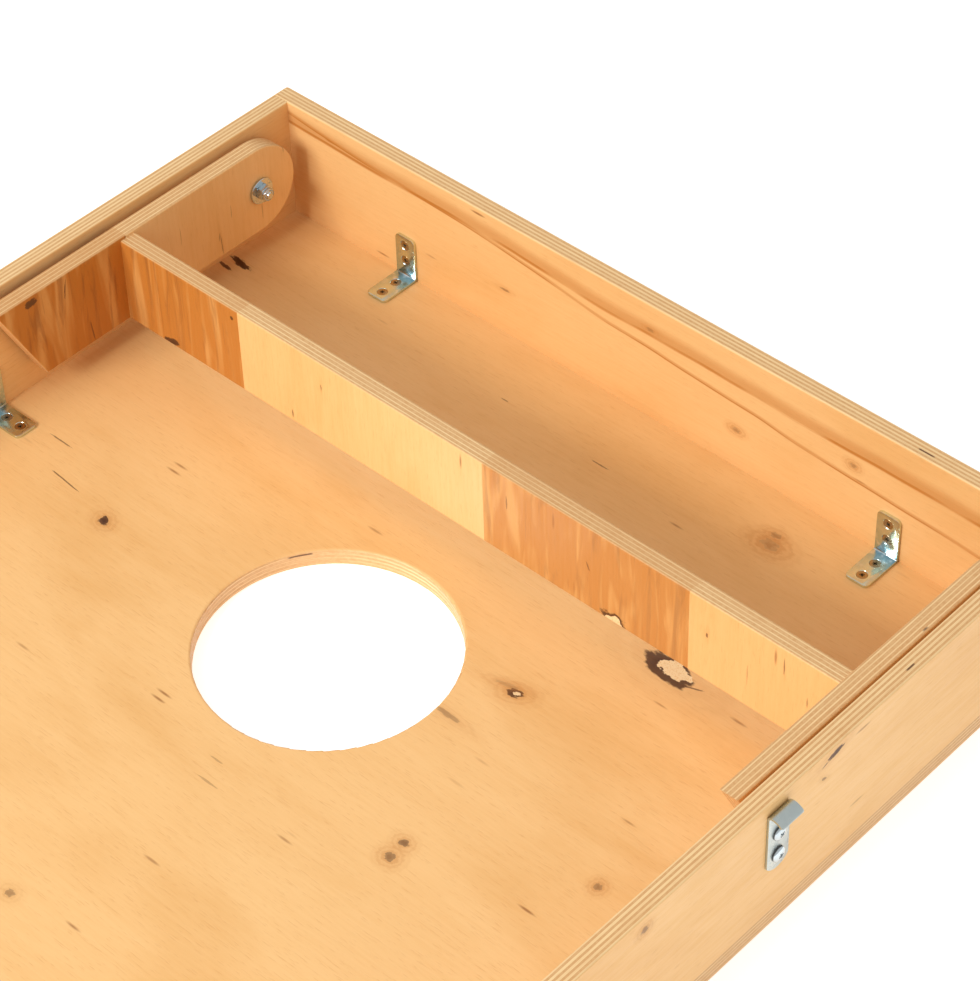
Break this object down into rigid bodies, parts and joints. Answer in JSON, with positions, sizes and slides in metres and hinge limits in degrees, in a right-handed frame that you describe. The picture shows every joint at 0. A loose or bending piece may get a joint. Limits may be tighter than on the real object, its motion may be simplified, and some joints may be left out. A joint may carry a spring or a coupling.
{
  "type": "cornhole board",
  "caption": "Plywood bean-bag toss board with a round hole, underside up with its fold-out legs tucked in; corner braces inside and latch keepers on the sides.",
  "frame": {"origin": "centre of the playing face, which the board lies on", "axes": "+Z out of the underside, away from the playing face; +Y towards the end with the bag hole; +X to the right of +Y seen from the underside"},
  "size_m": [0.6202, 1.2, 0.098],
  "materials": {
    "plywood": "satin",
    "leg_plywood": "satin",
    "zinc": "zinc plated",
    "nylon": "matte"
  },
  "bodies": {
    "board": {"deck": "plywood", "hole_end_rail": "plywood", "front_rail": "plywood", "left_rail": "plywood", "right_rail": "plywood", "left_pivot_bolt": "zinc", "left_pivot_spacer": "nylon", "left_pivot_washer": "zinc", "left_lock_nut": "zinc", "left_keeper_rear": "zinc", "left_keeper_front": "zinc", "left_keeper_screws": "zinc", "left_brace_rear": "zinc", "left_brace_middle": "zinc", "left_brace_front": "zinc", "hole_end_brace_left": "zinc", "front_brace_left": "zinc", "right_pivot_bolt": "zinc", "right_pivot_spacer": "nylon", "right_pivot_washer": "zinc", "right_lock_nut": "zinc", "right_keeper_rear": "zinc", "right_keeper_front": "zinc", "right_keeper_screws": "zinc", "right_brace_rear": "zinc", "right_brace_middle": "zinc", "right_brace_front": "zinc", "hole_end_brace_right": "zinc", "front_brace_right": "zinc", "hole_end_brace_screws": "zinc", "front_brace_screws": "zinc", "left_brace_screws": "zinc", "right_brace_screws": "zinc", "hole_end_corner_screws": "zinc", "front_corner_screws": "zinc"},
    "leg_frame": {"left_leg": "leg_plywood", "right_leg": "leg_plywood", "leg_crossbar": "leg_plywood", "crossbar_screws": "zinc"}
  },
  "joints": [
    {"name": "legs_fold", "type": "hinge", "parent": "board", "child": "leg_frame", "pos_m": [0, 0.5455, 0.062], "axis": [-1, 0, 0], "range_deg": [-5.9, 105.8]}
  ]
}
